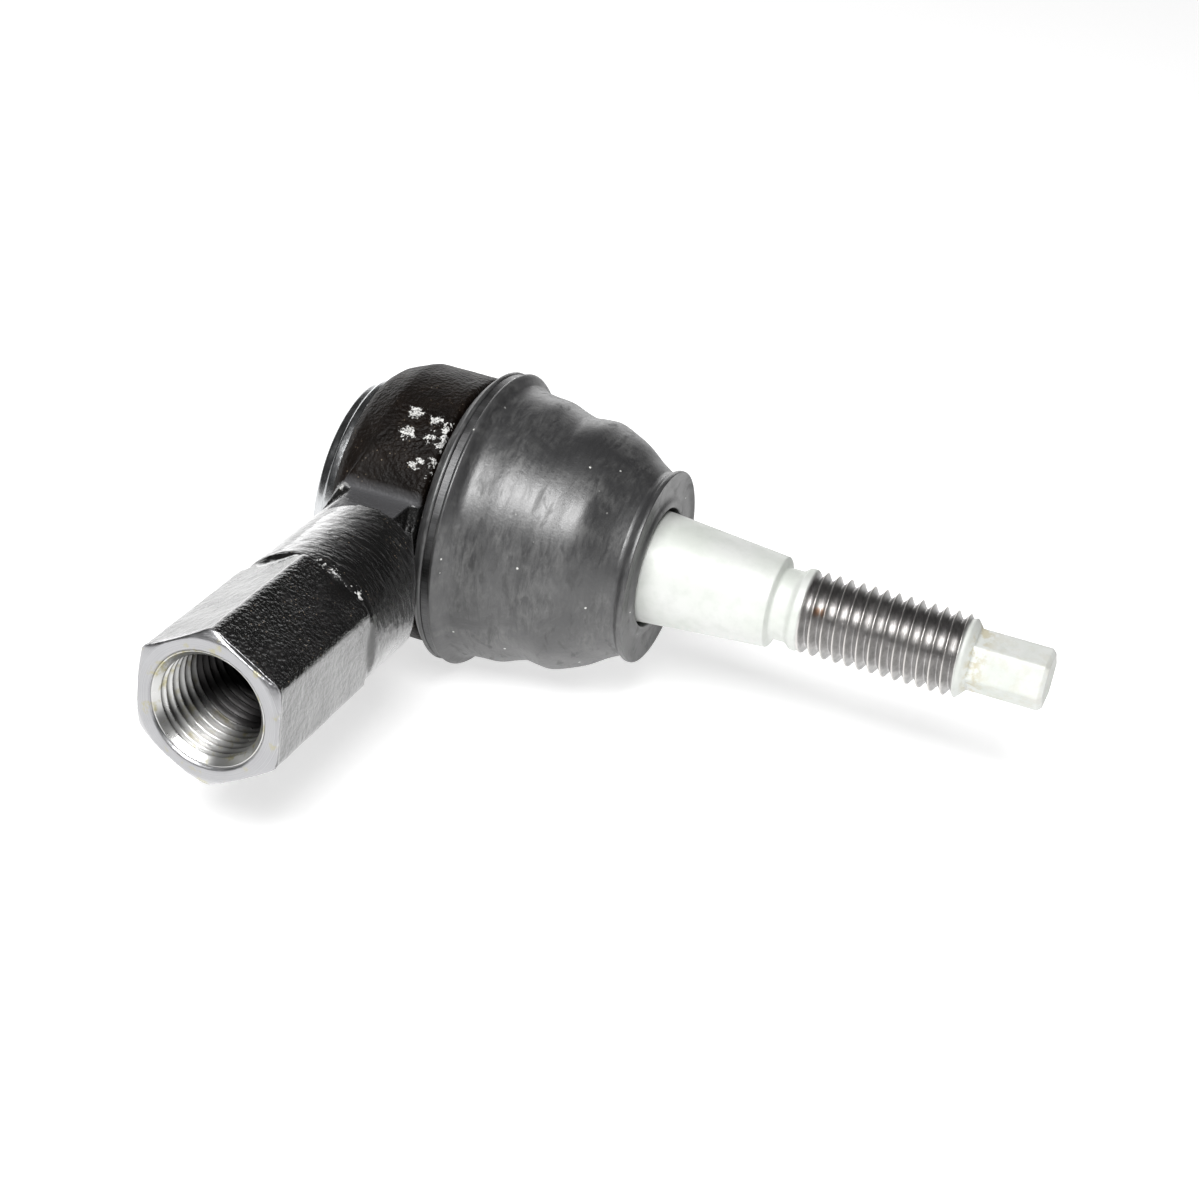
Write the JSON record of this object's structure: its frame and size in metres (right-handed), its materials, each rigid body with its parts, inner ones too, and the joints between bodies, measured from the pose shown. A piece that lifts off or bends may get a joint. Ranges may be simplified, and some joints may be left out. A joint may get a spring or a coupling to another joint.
{
  "type": "tie rod end",
  "caption": "Outer tie rod end: forged female shank with a hexagon, swivelling tapered ball stud, dust boot and plated cover.",
  "frame": {"origin": "the ball centre, where the stud axis and the shank axis cross", "axes": "+X along the stud to its threaded tip, -Y out of the threaded socket, +Z square to both, the thin way of the part"},
  "size_m": [0.106, 0.0921, 0.0442],
  "materials": {
    "housing": "gloss black paint over a forged surface",
    "stud": "pale plating, dark rolled thread",
    "bearing": "natural acetal",
    "steel": "plain steel",
    "spring": "blued spring steel",
    "cover": "bright zinc plate",
    "clip": "black phosphated spring steel",
    "rubber": "satin moulded rubber"
  },
  "bodies": {
    "housing_body": {"housing": "housing", "front_bearing": "bearing", "rear_bearing": "bearing", "pressure_ring": "steel", "preload_spring": "spring", "cover_plate": "cover", "cover_seal": "rubber", "boot_clip": "clip"},
    "boot_body": {"boot": "rubber"},
    "lip_body": {"boot_lip_ring": "steel"},
    "stud_body": {"ball_stud": "stud"}
  },
  "joints": [
    {"name": "stud_swing_level", "type": "hinge", "parent": "housing_body", "child": "boot_body", "pos_m": [0, 0, 0], "axis": [0, 0, 1], "range_deg": [-20, 20], "deforming": ["boot"]},
    {"name": "stud_swing_upright", "type": "hinge", "parent": "boot_body", "child": "lip_body", "pos_m": [0, 0, 0], "axis": [0, -1, 0], "range_deg": [-20, 20], "deforming": ["boot"]},
    {"name": "stud_spin", "type": "hinge", "parent": "lip_body", "child": "stud_body", "pos_m": [0, 0, 0], "axis": [1, 0, 0], "continuous": true}
  ]
}
